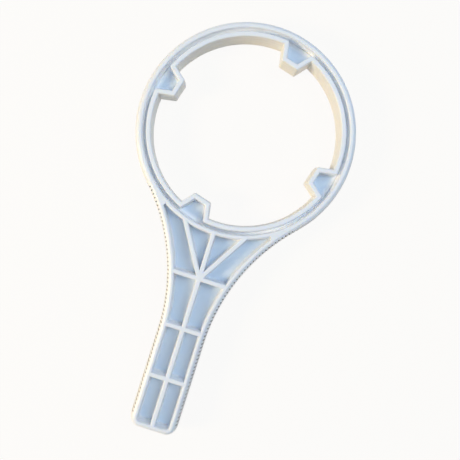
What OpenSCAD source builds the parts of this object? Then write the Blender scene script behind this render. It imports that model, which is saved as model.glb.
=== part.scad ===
// Filter housing wrench, moulded in one piece.
// A ring with hollow lugs turns the sump of a slim water filter housing. One web lies at mid
// height, and every wall and rib stands up from both of its faces, so the two sides are alike.
// Millimetres, +Z up. The origin is on the ring's axis, on the underside; the handle runs along -Y.

/* [Ring] */
// Inside diameter of the ring, between the lugs
ring_bore = 105.6; // [94:0.2:130]
// Thickness of the ring's inner wall, at its rim
bore_wall = 2.7; // [2:0.1:3.6]
// Width of the groove between the ring's two walls
groove_width = 2.1; // [1.8:0.1:6]
// Thickness of the ring's outer wall, at its rim
ring_wall = 2.6; // [2:0.1:3.6]

/* [Lugs] */
// Number of lugs round the ring
lug_count = 4; // [3:1:6]
// Distance across two opposite lug tips
lug_span = 87.8; // [76:0.2:92]
// Width of a lug's flat tip
lug_tip = 10.2; // [8:0.2:14]
// Slope of a lug's sides, in degrees from its own centre line
lug_flare = 25; // [10:1:35]
// Thickness of a lug's walls, at their rims
lug_wall = 2.7; // [2:0.1:3.2]
// Turn of the nearest lug from the handle's centre line, in degrees
lug_turn = 15.5; // [0:0.5:45]

/* [Body] */
// Height of every wall and rib, from one face of the wrench to the other
body_height = 15; // [11:0.5:22]
// Thickness of the web at mid height
web_thickness = 2; // [1.2:0.1:4]
// Draft of the moulded faces, in degrees, both ways from mid height
draft = 3; // [0.5:0.5:4]
// Bevel along the edges of rims and ribs
edge_bevel = 0.45; // [0.2:0.05:0.6]
// Bevel along the outer edges of the ring and the handle
rim_bevel = 0.85; // [0.5:0.05:1]

/* [Handle] */
// Distance from the ring's axis to the end of the handle
handle_reach = 175.1; // [160:0.1:230]
// Width of the handle at mid height
handle_width = 27.6; // [22:0.2:36]
// Thickness of the handle's side walls, at their rims
handle_wall = 2.35; // [1.8:0.05:3.2]
// How far the outer faces bulge past their own rims
bulge = 2; // [1.4:0.1:3]
// Radius of the flanks that lead from the ring into the handle
flank_radius = 110; // [85:1:140]
// Radius of the handle's end corners
end_radius = 6.5; // [6:0.5:10]
// How far the flanks' outer faces stand out from the ring's, where the grip begins
flank_step = 0.15; // [0.1:0.05:0.5]
// Width at which the pockets between ring and flanks end
crotch_width = 1; // [0.8:0.1:3]

/* [Ribs] */
// Thickness of the ribs, at their tops
rib_wall = 2.5; // [1.6:0.1:3.2]
// Distance from the ring's axis to the first cross rib, where the fan ribs meet
rib_start = 85.6; // [78:0.2:105]
// Number of cross ribs, evenly spaced from the first one to the handle's end
rib_count = 3; // [1:1:6]
// Angle of the outer fan ribs' feet on the ring, in degrees from the handle's centre line
fan_angle = 17.5; // [10:0.5:24]

/* [Grip] */
// Distance between the grip notches, along the edge
notch_pitch = 2.25; // [1.8:0.05:5]
// Width of a notch at mid height, where it is narrowest
notch_width = 0.66; // [0.5:0.02:1]
// Depth of a notch at mid height
notch_depth = 0.3; // [0.2:0.05:0.5]
// Slope of the notches, in degrees from upright
notch_draft = 7; // [4:0.5:8]

/* [Hidden] */

$fn = 128;
notch_sides = 24;
over = 1;
trim = 0.05;
post_swell = 0.04;
rim_step = 0.15;
body_colour = [0.93, 0.94, 0.95];

mid = body_height / 2;
taper = mid * tan(draft);

// Bevels of the ribs, a little finer than those of the walls they meet, so that no two share an edge
rib_bevel = 0.8 * edge_bevel;
fan_bevel = 0.7 * edge_bevel;

// Ring, from its axis outwards
bore_line = ring_bore / 2 + bore_wall / 2;
groove_edge = ring_bore / 2 + bore_wall + groove_width;
ring_line = groove_edge + ring_wall / 2;
ring_rim = groove_edge + ring_wall;
ring_radius = ring_rim + bulge;

// Bulged outer face: an arc through both rims, widest at mid height
arc_radius = (bulge * bulge + mid * mid) / (2 * bulge);
arc_bevel = arc_radius - sqrt(pow(arc_radius, 2) - pow(mid - rim_bevel, 2));
bevel_reach = rim_bevel * (bulge + rim_bevel) / (bulge + rim_bevel - arc_bevel);
bevel_foot = (bulge + rim_bevel) * (1 + trim / bevel_reach);

// Flanks, running out of the ring and tangent to the handle's sides; their height is kept to a micron
half_width = handle_width / 2;
micron = 0.001;
flank_x = half_width + flank_radius;
flank_gap = ring_radius + flank_radius + flank_step;
flank_y = -round(sqrt(pow(flank_gap, 2) - pow(flank_x, 2)) / micron) * micron;
flank_turn = atan2(flank_x, -flank_y);
side_inset = bulge + handle_wall / 2;
side_end = handle_reach - end_radius;
side_length = side_end + flank_y;

// Turn from the line through both centres to where a circle of the ring meets one of the flank
function meeting_turn(ring, flank) =
    acos((pow(ring, 2) + pow(flank_gap, 2) - pow(flank, 2)) / (2 * ring * flank_gap));
// The bulge of the ring ends just inside the flank's wall
bulge_end = flank_turn - flank_step / ring_radius * 180 / PI;

// Lugs, as centre lines of their walls
lug_slope = tan(lug_flare);
lug_offset = lug_tip / 2 - lug_slope * lug_span / 2 - lug_wall / (2 * cos(lug_flare));
lug_tip_x = (lug_span + lug_wall) / 2;
lug_tip_y = lug_offset + lug_slope * lug_tip_x;
lug_secant = 1 + pow(lug_slope, 2);
lug_root = bore_line + bore_wall / 4;
lug_base_x = (sqrt(pow(lug_root, 2) * lug_secant - pow(lug_offset, 2)) - lug_offset * lug_slope)
    / lug_secant;
lug_base_y = lug_offset + lug_slope * lug_base_x;
lug_base_turn = atan2(lug_base_y, lug_base_x);
lug_step = 360 / lug_count;
lug_first = -90 - lug_turn;

// Ribs
spine_end = handle_reach - side_inset;
rib_spacing = (handle_reach - bulge - rib_start) / rib_count;

// Grip notches, as round cuts of the given width and depth that widen towards both faces
notch_radius = (pow(notch_width / 2, 2) + pow(notch_depth, 2)) / (2 * notch_depth);
notch_mouth = notch_radius + (mid + over) * tan(notch_draft);
notch_inset = notch_depth - notch_radius;
flank_length = flank_radius * (90 - flank_turn) * PI / 180;
notch_count = floor((flank_length + side_length) / notch_pitch);

// Half the handle's width at a distance along it, measured in from the widest line
function side_x(along, inset) =
    along < -flank_y
    ? flank_x - sqrt(pow(flank_radius + inset, 2) - pow(along + flank_y, 2))
    : half_width - inset;

// A point on the right-hand edge, at a distance along it from the ring
function edge_point(along, inset) =
    along < flank_length
    ? let (turn = 90 + flank_turn + along / flank_radius * 180 / PI)
      [flank_x + (flank_radius + inset) * cos(turn), flank_y + (flank_radius + inset) * sin(turn)]
    : [half_width - inset, flank_y - (along - flank_length)];

// Section of a wall or rib: drafted both ways, bevelled at its rims, and a trim too high at both faces
module wall_section(thickness, inner = edge_bevel, outer = edge_bevel) {
    rim = thickness / 2;
    inner_foot = inner + trim - rim;
    outer_foot = rim - outer - trim;
    polygon([
        [inner_foot, -trim],
        [outer_foot, -trim],
        [rim, outer],
        [rim + taper, mid],
        [rim, body_height - outer],
        [outer_foot, body_height + trim],
        [inner_foot, body_height + trim],
        [-rim, body_height - inner],
        [-rim - taper, mid],
        [-rim, inner]
    ]);
}

// Section of the outer wall: X runs inwards from the widest line
module grip_section(thickness) {
    rim = bulge + thickness;
    foot = rim - edge_bevel - trim;
    intersection() {
        polygon([
            [bevel_foot, -trim],
            [foot, -trim],
            [rim, edge_bevel],
            [rim + taper, mid],
            [rim, body_height - edge_bevel],
            [foot, body_height + trim],
            [bevel_foot, body_height + trim],
            [0, body_height - bevel_reach],
            [-over, mid],
            [0, bevel_reach]
        ]);
        translate([arc_radius, mid])
            circle(arc_radius);
    }
}

// Straight wall or rib between two points
module wall_bar(from, to, thickness, bevel = edge_bevel) {
    run = to - from;
    translate([from[0], from[1], 0])
        rotate([0, 0, atan2(run[1], run[0])])
            rotate([90, 0, 90])
                linear_extrude(norm(run))
                    wall_section(thickness, bevel, bevel);
}

// Rounded corner where two walls meet
module wall_post(at, thickness) {
    translate([at[0], at[1], 0])
        rotate_extrude()
            intersection() {
                wall_section(thickness);
                translate([0, -over])
                    square([thickness + taper, body_height + 2 * over]);
            }
}

// Ring's inner wall: arcs between the lugs, and hollow lugs open to the groove
module bore_and_lugs() {
    lap = (lug_wall / 2 - edge_bevel) / bore_line * 180 / PI;
    tip_wall = lug_wall * (1 + post_swell);
    for (i = [0 : lug_count - 1])
        rotate([0, 0, lug_first + i * lug_step]) {
            rotate([0, 0, lug_base_turn - lap])
                rotate_extrude(angle = lug_step - 2 * (lug_base_turn - lap))
                    translate([bore_line, 0])
                        wall_section(bore_wall);
            wall_bar([lug_tip_x, -lug_tip_y], [lug_tip_x, lug_tip_y], lug_wall);
            for (s = [-1, 1]) {
                wall_bar([lug_tip_x, s * lug_tip_y], [lug_base_x, s * lug_base_y], lug_wall);
                wall_post([lug_tip_x, s * lug_tip_y], tip_wall);
            }
        }
}

// Ring's outer wall: a plain wall all round, and a slightly wider bulged one round its free side
module ring_outer_wall() {
    rotate_extrude()
        translate([ring_line - rim_step / 2, 0])
            wall_section(ring_wall - rim_step, outer = rim_bevel);
    rotate([0, 0, bulge_end - 90])
        rotate_extrude(angle = 360 - 2 * bulge_end)
            translate([ring_radius, 0])
                mirror([1, 0])
                    intersection() {
                        grip_section(ring_wall);
                        translate([0, -over])
                            square([bulge + ring_wall / 2, body_height + 2 * over]);
                    }
}

// One side of the handle: flank, straight side and end corner
module handle_side() {
    translate([flank_x, flank_y, 0])
        rotate([0, 0, 180])
            rotate_extrude(angle = flank_turn - 90)
                translate([flank_radius, 0])
                    grip_section(handle_wall);
    translate([half_width, flank_y, 0])
        rotate([90, 0, 0])
            linear_extrude(side_length)
                mirror([1, 0])
                    grip_section(handle_wall);
    translate([half_width - end_radius, -side_end, 0])
        rotate([0, 0, -90])
            rotate_extrude(angle = 90)
                translate([end_radius, 0])
                    mirror([1, 0])
                        grip_section(handle_wall);
    crotch();
}

// Filled tip of the pocket between the ring and a flank
module crotch() {
    narrow = flank_turn - meeting_turn(ring_rim, flank_radius + side_inset) - 90;
    wide = flank_turn - meeting_turn(ring_rim, flank_radius + bulge + handle_wall + crotch_width) - 90;
    far = ring_radius + bulge + crotch_width;
    translate([0, 0, -trim])
        linear_extrude(body_height + 2 * trim)
            difference() {
                polygon([[0, 0], far * [cos(wide), sin(wide)], far * [cos(narrow), sin(narrow)]]);
                circle(ring_line);
                translate([flank_x, flank_y])
                    circle(flank_radius + side_inset);
            }
}

module handle_end() {
    translate([end_radius - half_width, -handle_reach, 0])
        rotate([90, 0, 90])
            linear_extrude(handle_width - 2 * end_radius)
                grip_section(handle_wall);
}

// Spine, cross ribs and the fan that spreads from the first cross rib to the ring
module ribs() {
    wall_bar([0, -ring_line], [0, -spine_end], rib_wall, rib_bevel);
    for (i = [0 : rib_count - 1]) {
        along = rib_start + i * rib_spacing;
        reach = side_x(along, side_inset);
        wall_bar([-reach, -along], [reach, -along], rib_wall, rib_bevel);
    }
    for (s = [-1, 1])
        wall_bar([0, -rib_start], ring_line * [s * sin(fan_angle), -cos(fan_angle)], rib_wall, fan_bevel);
}

// Outline of the web: it ends inside the walls all round
module web_outline() {
    corner = end_radius - side_inset;
    difference() {
        union() {
            circle(ring_line);
            difference() {
                polygon([[0, 0], [flank_x, flank_y], [-flank_x, flank_y]]);
                for (s = [-1, 1])
                    translate([s * flank_x, flank_y])
                        circle(flank_radius + side_inset);
            }
            translate([side_inset - half_width, -side_end])
                square([handle_width - 2 * side_inset, side_length]);
            translate([end_radius - half_width, -spine_end])
                square([handle_width - 2 * end_radius, corner + over]);
            for (s = [-1, 1])
                translate([s * (half_width - end_radius), -side_end])
                    circle(corner);
        }
        circle(bore_line);
    }
    for (i = [0 : lug_count - 1])
        rotate(lug_first + i * lug_step)
            polygon([
                [lug_tip_x, -lug_tip_y],
                [lug_base_x, -lug_base_y],
                [groove_edge, -lug_base_y],
                [groove_edge, lug_base_y],
                [lug_base_x, lug_base_y],
                [lug_tip_x, lug_tip_y]
            ]);
}

module web() {
    translate([0, 0, mid - web_thickness / 2])
        linear_extrude(web_thickness)
            web_outline();
}

// Waisted cutter of one notch
module notch() {
    rotate_extrude($fn = notch_sides)
        polygon([
            [0, -over],
            [notch_mouth, -over],
            [notch_radius, mid],
            [notch_mouth, body_height + over],
            [0, body_height + over]
        ]);
}

// Row of notches along both flanks and sides
module grip_notches() {
    for (side = [0, 1])
        mirror([side, 0, 0])
            for (i = [0 : notch_count - 1]) {
                at = edge_point((i + 0.5) * notch_pitch, notch_inset);
                translate([at[0], at[1], 0])
                    notch();
            }
}

// Everything past the two flat faces
module trimmings() {
    far = handle_reach + ring_radius;
    for (z = [-over, body_height])
        translate([-far, -far, z])
            cube([2 * far, 2 * far, over]);
}

module wrench_body() {
    color(body_colour)
        difference() {
            union() {
                web();
                bore_and_lugs();
                ring_outer_wall();
                handle_side();
                mirror([1, 0, 0])
                    handle_side();
                handle_end();
                ribs();
            }
            grip_notches();
            trimmings();
        }
}

wrench_body();
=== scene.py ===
import math
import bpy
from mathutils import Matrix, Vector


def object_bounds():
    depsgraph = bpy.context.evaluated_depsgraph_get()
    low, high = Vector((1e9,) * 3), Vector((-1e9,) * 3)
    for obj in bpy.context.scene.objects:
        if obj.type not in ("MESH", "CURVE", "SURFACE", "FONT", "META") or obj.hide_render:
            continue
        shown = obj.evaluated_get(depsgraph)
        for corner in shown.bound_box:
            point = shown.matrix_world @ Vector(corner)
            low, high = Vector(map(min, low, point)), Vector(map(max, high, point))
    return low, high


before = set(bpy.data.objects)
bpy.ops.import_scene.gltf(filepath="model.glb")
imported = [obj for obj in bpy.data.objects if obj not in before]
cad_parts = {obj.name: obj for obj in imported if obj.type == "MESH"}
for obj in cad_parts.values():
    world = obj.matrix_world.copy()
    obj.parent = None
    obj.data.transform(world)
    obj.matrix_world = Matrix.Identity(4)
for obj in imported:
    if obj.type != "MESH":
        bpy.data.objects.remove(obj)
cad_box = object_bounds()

from types import SimpleNamespace

import bpy
from mathutils import Matrix, Vector

# A white moulded wrench that lies on a pale floor, seen from straight above.
# Metres, in the part's own frame.

# The wrench itself, from the frame: the ring lies round the origin and the handle runs down the y axis.
# The radius is rounded to 10 microns, because the mesh's facets fall a little short of the circle
BOTTOM = cad_box[0][2]
TOP = cad_box[1][2]
MID_HEIGHT = (BOTTOM + TOP) / 2
HALF_HEIGHT = (TOP - BOTTOM) / 2
RING_RADIUS = round(cad_box[1][0], 5)
HANDLE_END = cad_box[0][1]

# The grip: bulged outer faces, with notches along the flanks and the straight sides of the handle.
# A flank is an arc from the ring, a small step out from its face, to a straight side.
# NOTCH_CENTRE is where a notch lies within its pitch, as a share of it
BULGE = 0.0020
HANDLE_HALF = 0.0138
FLANK_RADIUS = 0.110
FLANK_STEP = 0.00015
NOTCH_PITCH = 0.00225
NOTCH_CENTRE = 0.5
BULGE_RADIUS = (HALF_HEIGHT ** 2 + BULGE ** 2) / (2 * BULGE)
FLANK_GAP = RING_RADIUS + FLANK_RADIUS + FLANK_STEP
FLANK_X = HANDLE_HALF + FLANK_RADIUS
FLANK_Y = -math.sqrt(FLANK_GAP ** 2 - FLANK_X ** 2)
FLANK_LENGTH = FLANK_RADIUS * (math.pi / 2 - math.atan2(FLANK_X, -FLANK_Y))
FLANK_START = RING_RADIUS * FLANK_Y / FLANK_GAP

# Camera: it looks straight down on the wrench's upper face, turned against the handle's axis
CAMERA_FOOT = Vector((-0.0029, -0.0490))
CAMERA_DISTANCE = 0.285
VIEW_CENTRE = Vector((0.0080, -0.0546))
VIEW_WIDTH = 0.254
VIEW_TURN = math.radians(17.7)
SENSOR = 36.0

# Light: a dim dome, a warm low lamp at the picture's left, a cool one at its right and a blue one overhead.
# Lamps: colour, level, size, and in degrees the elevation and the direction in the picture, from its right
SKY_COLOUR = (0.76, 0.86, 1.0, 1)
SKY_LEVEL = 0.28
LAMP_DISTANCE = 1.0
LAMPS = {
    "warm_lamp": ((1.0, 0.84, 0.56), 0.75, 0.26, 31, 186),
    "cool_lamp": ((0.67, 0.83, 1.0), 0.36, 0.50, 52, 25),
    "top_lamp": ((0.42, 0.66, 1.0), 0.13, 0.45, 85, 90),
}
# White plastic passes light on many times before it fades, so that the ring's deep groove isn't dark
LIGHT_BOUNCES = 16

# Floor: sandy in the light that it throws back, and nearly white to the camera
WHITE = (1, 1, 1, 1)
FLOOR_SIZE = 6.0
FLOOR_COLOUR = (0.82, 0.65, 0.40, 1)
FLOOR_WHITENING = 0.92

# Natural white polypropylene, cloudy, with painted light (paler) at edges, wall roots and in the ring's
# groove, and painted shade (darker, bluish) on the web's floors
PLASTIC = (0.87, 0.885, 0.92, 1)
PLASTIC_CLOUDY = (0.845, 0.87, 0.915, 1)
PLASTIC_PAINTED_LIGHT = (0.97, 0.97, 0.97, 1)
PLASTIC_SHADED_WEB = (0.67, 0.75, 0.83, 1)
REFRACTION = 1.49
ROUGHNESS = (0.34, 0.50)
SCATTER_WEIGHT = 0.4
SCATTER_DEPTH = 0.002
SCATTER_COLOURS = (1.0, 0.85, 0.65)

# Where the colours lie. Heights are counted from mid height both ways, and the groove's sides inwards from
# the ring's outer face. A slope is the upright share of a face's normal: 0 on walls, 1 on level faces
WEB_HEIGHT = (0.0012, 0.0016)
WEB_SLOPE = (0.70, 0.95)
WALL_SLOPE = (0.2, 0.5)
GROOVE_OUTER = (0.0032, 0.0037)
GROOVE_INNER = (0.0062, 0.0082)
GROOVE_HEIGHT = (0.0050, 0.0060)

# Rounding: wide at the roots of walls and narrow at their rims. EDGE_TURN says how far the rounded normal
# leaves the face's own at an edge, as the cosine of the angle between them
EDGE_ROUNDING = 0.00025
ROOT_ROUNDING = 0.0020
ROOT_HEIGHT = (0.0030, 0.0048)
EDGE_TURN = (0.80, 0.99)

# Noise: size and detail. Each range gives the noise values at which its effect starts and is full
FLOW = (0.016, 3)
MOTTLE = (0.0035, 5)
CLOUD_RANGE = (0.7, 1.3)
GLOSS_RANGE = (0.3, 0.7)
GRAIN = (0.00035, 2)
GRAIN_DEPTH = 0.000012

# Streaks along the walls, tan as draw marks and as painted warm light, and the parting line round mid
# height
DRAW = (0.008, 3)
DRAW_STRETCH = (1, 1, 20)
DRAW_RANGE = (0.46, 0.66)
DRAW_AND_WARM_LIGHT_COLOUR = (0.74, 0.70, 0.63, 1)
DRAW_AND_WARM_LIGHT_SHARE = 0.45
DRAW_DEPTH = 0.00003
PARTING_WIDTH = 0.00012
PARTING_DEPTH = 0.00005

# Painted shade in and above the notches: near-black dots for the shaded gaps between the teeth. Its width
# is counted in pitches from a notch's centre, and its depth from the bulged face. It reaches higher on the
# flanks than on the straight left side, and higher on the right
NOTCH_SHADE = (0.07, 0.065, 0.06, 1)
NOTCH_SHADE_WIDTH = (0.13, 0.20)
NOTCH_SHADE_REACH = (0.0061, 0.0068)
NOTCH_SHADE_REACH_RIGHT = 0.0067
NOTCH_SHADE_FAR = 0.040
NOTCH_SHADE_FADE = 0.0002
NOTCH_SHADE_DEPTH = (0.0009, 0.0011)
NOTCH_SHADE_FROM_END = 0.0066
NOTCH_SHADE_FROM_RING = 0.0015
NOTCH_SHADE_ALONG = (HANDLE_END + NOTCH_SHADE_FROM_END, FLANK_START - NOTCH_SHADE_FROM_RING)
PATCHES = (0.006, 3)
PATCH_RANGE = (0.30, 0.55)
PATCH_LEAST = 0.8

# Places of the colour sockets on a Mix node, where several sockets share a name
MIX_FIRST = 6
MIX_SECOND = 7
MIX_RESULT = 2


def picture_axes():
    """The picture's right and up directions, in the part's frame."""
    right = Vector((math.cos(VIEW_TURN), math.sin(VIEW_TURN), 0))
    up = Vector((-math.sin(VIEW_TURN), math.cos(VIEW_TURN), 0))
    return right, up


def add_camera():
    right, up = picture_axes()
    data = bpy.data.cameras.new("camera")
    data.sensor_width = SENSOR
    data.lens = SENSOR * CAMERA_DISTANCE / VIEW_WIDTH
    off = (VIEW_CENTRE - CAMERA_FOOT).to_3d()
    data.shift_x = off.dot(right) / VIEW_WIDTH
    data.shift_y = off.dot(up) / VIEW_WIDTH
    camera = bpy.data.objects.new("camera", data)
    axes = Matrix((right, up, right.cross(up))).transposed().to_4x4()
    camera.matrix_world = Matrix.Translation((*CAMERA_FOOT, TOP + CAMERA_DISTANCE)) @ axes
    bpy.context.collection.objects.link(camera)
    bpy.context.scene.camera = camera


def add_lamp(name, colour, level, size, elevation, direction):
    """A soft square lamp. At level 1, a face turned to it looks as bright as its own colour."""
    right, up = picture_axes()
    height = math.radians(elevation)
    turn = math.radians(direction)
    aside = right * math.cos(turn) + up * math.sin(turn)
    target = VIEW_CENTRE.to_3d()
    place = target + LAMP_DISTANCE * (aside * math.cos(height) + Vector((0, 0, math.sin(height))))
    data = bpy.data.lights.new(name, "AREA")
    data.size = size
    data.color = colour
    data.energy = level * (math.pi * LAMP_DISTANCE) ** 2
    lamp = bpy.data.objects.new(name, data)
    lamp.location = place
    lamp.rotation_euler = (target - place).to_track_quat("-Z", "Y").to_euler()
    bpy.context.collection.objects.link(lamp)


def add_lights():
    for name, values in LAMPS.items():
        add_lamp(name, *values)
    bpy.context.scene.cycles.diffuse_bounces = LIGHT_BOUNCES
    bpy.context.scene.cycles.max_bounces = LIGHT_BOUNCES


def node(tree, kind, **values):
    """A node with its inputs set by name."""
    made = tree.nodes.new(kind)
    for name, value in values.items():
        made.inputs[name.replace("_", " ")].default_value = value
    return made


def math_node(tree, operation, first, second=None):
    """A calculation on one or two values, each a number or another node's output."""
    made = tree.nodes.new("ShaderNodeMath")
    made.operation = operation
    for socket, value in zip(made.inputs, (first, second)):
        if value is None:
            continue
        if isinstance(value, (int, float)):
            socket.default_value = value
        else:
            tree.links.new(value, socket)
    return made.outputs[0]


def times(tree, *values):
    made = values[0]
    for value in values[1:]:
        made = math_node(tree, "MULTIPLY", made, value)
    return made


def length_2d(tree, first, second):
    square = math_node(tree, "ADD", times(tree, first, first), times(tree, second, second))
    return math_node(tree, "SQRT", square)


def between(tree, value, low, high):
    """1 where a value lies between two limits."""
    above = math_node(tree, "GREATER_THAN", value, low)
    return times(tree, above, math_node(tree, "LESS_THAN", value, high))


def spread(tree, value, low, high, to_low, to_high):
    """Maps a value from one range to another, clamped."""
    made = node(tree, "ShaderNodeMapRange", From_Min=low, From_Max=high, To_Min=to_low, To_Max=to_high)
    tree.links.new(value, made.inputs["Value"])
    return made.outputs["Result"]


def noise(tree, place, size, detail):
    made = node(tree, "ShaderNodeTexNoise", Scale=1 / size, Detail=detail)
    tree.links.new(place, made.inputs["Vector"])
    return made.outputs["Fac"]


def mixed(tree, share, first, second):
    """A colour between two, each a fixed colour or another node's output."""
    made = tree.nodes.new("ShaderNodeMix")
    made.data_type = "RGBA"
    tree.links.new(share, made.inputs[0])
    for place, colour in ((MIX_FIRST, first), (MIX_SECOND, second)):
        if isinstance(colour, tuple):
            made.inputs[place].default_value = colour
        else:
            tree.links.new(colour, made.inputs[place])
    return made.outputs[MIX_RESULT]


def bump(tree, height, depth, normal):
    made = node(tree, "ShaderNodeBump", Strength=1.0, Distance=depth)
    tree.links.new(height, made.inputs["Height"])
    tree.links.new(normal, made.inputs["Normal"])
    return made.outputs["Normal"]


def split(tree, vector):
    """A vector's three parts."""
    made = tree.nodes.new("ShaderNodeSeparateXYZ")
    tree.links.new(vector, made.inputs[0])
    return made.outputs


def seen_directly(tree):
    """1 for rays from the camera or by way of gloss and glass, 0 for the light that falls on things."""
    rays = tree.nodes.new("ShaderNodeLightPath").outputs
    glossy = math_node(tree, "MAXIMUM", rays["Is Camera Ray"], rays["Is Glossy Ray"])
    return math_node(tree, "MAXIMUM", glossy, rays["Is Transmission Ray"])


def mix_into(tree, out_kind, share, first, second):
    """Sends a mix of two shaders to an output node."""
    mix = tree.nodes.new("ShaderNodeMixShader")
    for socket, value in zip(mix.inputs, (share, first.outputs[0], second.outputs[0])):
        tree.links.new(value, socket)
    out = tree.nodes.new(out_kind)
    tree.links.new(mix.outputs[0], out.inputs[0])


def set_world():
    world = bpy.data.worlds.new("studio")
    world.use_nodes = True
    tree = world.node_tree
    tree.nodes.clear()
    sky = node(tree, "ShaderNodeBackground", Color=SKY_COLOUR, Strength=SKY_LEVEL)
    white = node(tree, "ShaderNodeBackground", Color=WHITE, Strength=1)
    mix_into(tree, "ShaderNodeOutputWorld", seen_directly(tree), sky, white)
    bpy.context.scene.world = world


def floor_material():
    """Matte, with most of the white that the camera sees added as light of its own."""
    material = bpy.data.materials.new("floor")
    material.use_nodes = True
    tree = material.node_tree
    tree.nodes.clear()
    matte = node(tree, "ShaderNodeBsdfDiffuse", Color=FLOOR_COLOUR)
    white = node(tree, "ShaderNodeEmission", Color=WHITE, Strength=1)
    share = times(tree, seen_directly(tree), FLOOR_WHITENING)
    mix_into(tree, "ShaderNodeOutputMaterial", share, matte, white)
    return material


def add_floor():
    half = FLOOR_SIZE / 2
    corners = [(-half, -half, 0), (half, -half, 0), (half, half, 0), (-half, half, 0)]
    mesh = bpy.data.meshes.new("floor")
    mesh.from_pydata(corners, [], [(0, 1, 2, 3)])
    mesh.materials.append(floor_material())
    floor = bpy.data.objects.new("floor", mesh)
    floor.location = (*VIEW_CENTRE, BOTTOM)
    bpy.context.collection.objects.link(floor)


def surface(tree):
    """Where a point of the wrench lies and which way it faces, bare and with its edges rounded."""
    place = tree.nodes.new("ShaderNodeTexCoord").outputs["Object"]
    x, y, z = split(tree, place)
    from_mid = math_node(tree, "ABSOLUTE", math_node(tree, "SUBTRACT", z, MID_HEIGHT))
    bare = tree.nodes.new("ShaderNodeNewGeometry").outputs["True Normal"]
    bevel = tree.nodes.new("ShaderNodeBevel")
    radius = spread(tree, from_mid, *ROOT_HEIGHT, ROOT_ROUNDING, EDGE_ROUNDING)
    tree.links.new(radius, bevel.inputs["Radius"])
    return SimpleNamespace(place=place, x=x, y=y, from_mid=from_mid, bare=bare, rounded=bevel.outputs[0])


def level_faces(tree, at, slope):
    """0 on upright faces, 1 on level ones."""
    upright_share = math_node(tree, "ABSOLUTE", split(tree, at.bare)["Z"])
    return spread(tree, upright_share, *slope, 0, 1)


def ring_groove(tree, at):
    """1 deep in the ring's groove."""
    inset = math_node(tree, "SUBTRACT", RING_RADIUS, length_2d(tree, at.x, at.y))
    outer = spread(tree, inset, *GROOVE_OUTER, 0, 1)
    inner = spread(tree, inset, *GROOVE_INNER, 1, 0)
    return times(tree, inner, outer, spread(tree, at.from_mid, *GROOVE_HEIGHT, 1, 0))


def painted_light_places(tree, at):
    """Where light is painted: 1 at edges and roots, where the rounded normal leaves the face's own, and in
    the ring's groove.
    """
    facing = tree.nodes.new("ShaderNodeVectorMath")
    facing.operation = "DOT_PRODUCT"
    tree.links.new(at.rounded, facing.inputs[0])
    tree.links.new(at.bare, facing.inputs[1])
    edges = spread(tree, facing.outputs["Value"], *EDGE_TURN, 1, 0)
    return math_node(tree, "MAXIMUM", edges, ring_groove(tree, at))


def shaded_web(tree, at, painted_lit):
    """1 on the web's own faces, away from the walls, where painted shade makes the floors darker and
    bluish.
    """
    level = level_faces(tree, at, WEB_SLOPE)
    low = spread(tree, at.from_mid, *WEB_HEIGHT, 1, 0)
    return times(tree, level, low, math_node(tree, "SUBTRACT", 1.0, painted_lit))


def draw_marks(tree, at):
    """Noise drawn out along the walls, as a mould's cutter leaves it."""
    stretched = tree.nodes.new("ShaderNodeVectorMath")
    stretched.operation = "MULTIPLY"
    stretched.inputs[1].default_value = DRAW_STRETCH
    tree.links.new(at.place, stretched.inputs[0])
    return noise(tree, stretched.outputs[0], *DRAW)


def streaks_and_warm_light(tree, at, painted_lit, marks):
    """How strongly the draw marks, tinted tan with painted warm light, colour the upright faces."""
    level = level_faces(tree, at, WALL_SLOPE)
    walls = math_node(tree, "SUBTRACT", 1.0, math_node(tree, "MAXIMUM", level, painted_lit))
    return times(tree, walls, spread(tree, marks, *DRAW_RANGE, 0, DRAW_AND_WARM_LIGHT_SHARE))


def grip_edge(tree, at):
    """Inset from the handle's edge at mid height, and length along that edge from the ring."""
    to_flank = math_node(tree, "SUBTRACT", FLANK_X, math_node(tree, "ABSOLUTE", at.x))
    rise = math_node(tree, "MAXIMUM", math_node(tree, "SUBTRACT", at.y, FLANK_Y), 0.0)
    drop = math_node(tree, "MAXIMUM", math_node(tree, "SUBTRACT", FLANK_Y, at.y), 0.0)
    inset = math_node(tree, "SUBTRACT", length_2d(tree, to_flank, rise), FLANK_RADIUS)
    swept = times(tree, math_node(tree, "ARCTAN2", rise, to_flank), FLANK_RADIUS)
    along = math_node(tree, "ADD", math_node(tree, "SUBTRACT", FLANK_LENGTH, swept), drop)
    return inset, along


def notch_shade_height(tree, at):
    """1 up to the height that the painted shade reaches."""
    aside = math_node(tree, "ABSOLUTE", at.x)
    either_side = spread(tree, aside, HANDLE_HALF, NOTCH_SHADE_FAR, *NOTCH_SHADE_REACH)
    right_side = times(tree, math_node(tree, "GREATER_THAN", at.x, 0.0), NOTCH_SHADE_REACH_RIGHT)
    reach = math_node(tree, "MAXIMUM", either_side, right_side)
    return spread(tree, math_node(tree, "SUBTRACT", at.from_mid, reach), -NOTCH_SHADE_FADE, NOTCH_SHADE_FADE, 1, 0)


def notch_shade(tree, at):
    """Painted shade: 1 in the grip notches and a little above them, broken up by noise."""
    inset, along = grip_edge(tree, at)
    bulged = math_node(tree, "DIVIDE", times(tree, at.from_mid, at.from_mid), 2 * BULGE_RADIUS)
    skin = spread(tree, math_node(tree, "SUBTRACT", inset, bulged), *NOTCH_SHADE_DEPTH, 1, 0)
    count = math_node(tree, "FRACT", math_node(tree, "DIVIDE", along, NOTCH_PITCH))
    off_centre = math_node(tree, "ABSOLUTE", math_node(tree, "SUBTRACT", count, NOTCH_CENTRE))
    dots = spread(tree, off_centre, *NOTCH_SHADE_WIDTH, 1, 0)
    patchy = spread(tree, noise(tree, at.place, *PATCHES), *PATCH_RANGE, PATCH_LEAST, 1)
    return times(tree, skin, dots, notch_shade_height(tree, at), between(tree, at.y, *NOTCH_SHADE_ALONG), patchy)


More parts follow.
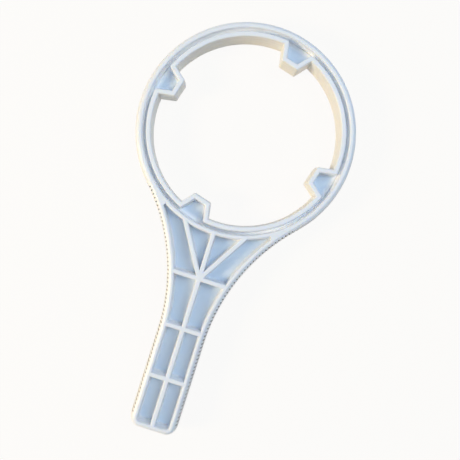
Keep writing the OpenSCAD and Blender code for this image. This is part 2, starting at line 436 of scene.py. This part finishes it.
def plastic_colour(tree, at, mottle, marks):
    """Cloudy white, then painted light at edges, roots and in the groove, painted shade on the web, streaks
    on the walls with painted warm light, and painted shade in and above the notches.
    """
    cloud = spread(tree, math_node(tree, "ADD", noise(tree, at.place, *FLOW), mottle), *CLOUD_RANGE, 0, 1)
    painted_lit = painted_light_places(tree, at)
    colour = mixed(tree, cloud, PLASTIC, PLASTIC_CLOUDY)
    # Painted light: edges, wall roots and the groove painted paler
    colour = mixed(tree, painted_lit, colour, PLASTIC_PAINTED_LIGHT)
    # Painted shade: the web's floors darker and bluish
    colour = mixed(tree, shaded_web(tree, at, painted_lit), colour, PLASTIC_SHADED_WEB)
    # Draw marks on the walls, their tan also painted warm light
    colour = mixed(tree, streaks_and_warm_light(tree, at, painted_lit, marks), colour, DRAW_AND_WARM_LIGHT_COLOUR)
    # Painted shade: near-black dots in and above the notches
    return mixed(tree, notch_shade(tree, at), colour, NOTCH_SHADE)


def fine_relief(tree, at, marks):
    """The rounded normal with mould grain, the parting line at mid height and the draw marks."""
    line = spread(tree, at.from_mid, PARTING_WIDTH / 2, PARTING_WIDTH, 1, 0)
    normal = bump(tree, noise(tree, at.place, *GRAIN), GRAIN_DEPTH, at.rounded)
    normal = bump(tree, line, PARTING_DEPTH, normal)
    return bump(tree, marks, DRAW_DEPTH, normal)


def plastic():
    """White polypropylene, a little translucent and unevenly glossy."""
    material = bpy.data.materials.new("white_polypropylene")
    material.use_nodes = True
    tree = material.node_tree
    sockets = tree.nodes["Principled BSDF"].inputs
    at = surface(tree)
    mottle = noise(tree, at.place, *MOTTLE)
    marks = draw_marks(tree, at)
    tree.links.new(plastic_colour(tree, at, mottle, marks), sockets["Base Color"])
    tree.links.new(spread(tree, mottle, *GLOSS_RANGE, *ROUGHNESS), sockets["Roughness"])
    tree.links.new(fine_relief(tree, at, marks), sockets["Normal"])
    sockets["IOR"].default_value = REFRACTION
    sockets["Subsurface Weight"].default_value = SCATTER_WEIGHT
    sockets["Subsurface Scale"].default_value = SCATTER_DEPTH
    sockets["Subsurface Radius"].default_value = SCATTER_COLOURS
    return material


def dress_wrench():
    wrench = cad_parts["wrench_body"]
    material = plastic()
    for slot in wrench.material_slots:
        slot.material = material


bpy.context.scene.view_settings.view_transform = "Standard"
add_camera()
set_world()
add_lights()
add_floor()
dress_wrench()
